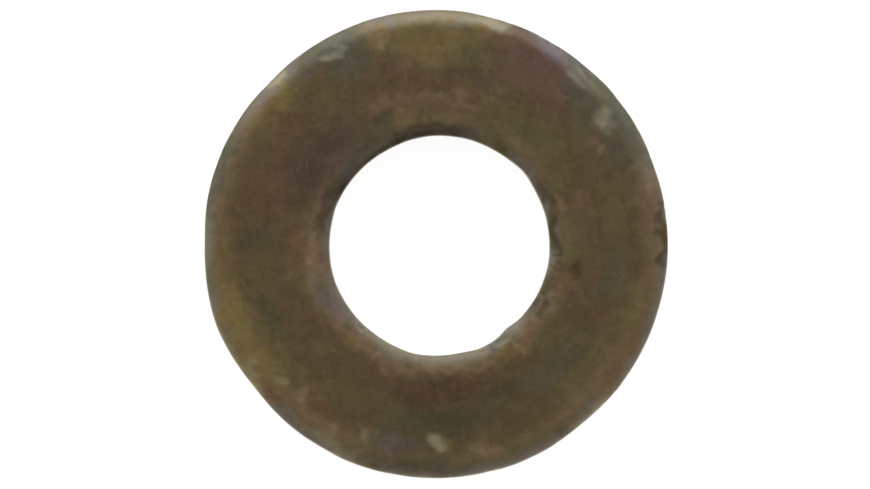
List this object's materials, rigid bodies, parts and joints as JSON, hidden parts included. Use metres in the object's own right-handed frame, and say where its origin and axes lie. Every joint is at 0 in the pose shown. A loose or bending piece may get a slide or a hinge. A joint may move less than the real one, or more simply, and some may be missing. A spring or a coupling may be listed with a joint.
{
  "type": "flat washer",
  "caption": "Plain stamped steel flat washer with rolled edges and a yellow chromate finish, to go under a bolt head or nut.",
  "frame": {"origin": "centre of the outside diameter on the lower bearing face, the face that the washer lies on", "axes": "+Z along the hole, from the lower bearing face to the face whose edges are rolled over; +X runs from the centre of the outside diameter towards the side that the slightly off-centre hole leans to"},
  "size_m": [0.022, 0.022, 0.002],
  "materials": {
    "chromated_zinc": "zinc plated, yellow chromate film aged to olive brown with patches of violet, green and teal, satin, with tumbling marks and bright worn edges"
  },
  "bodies": {
    "root": {"washer": "chromated_zinc"}
  },
  "joints": []
}
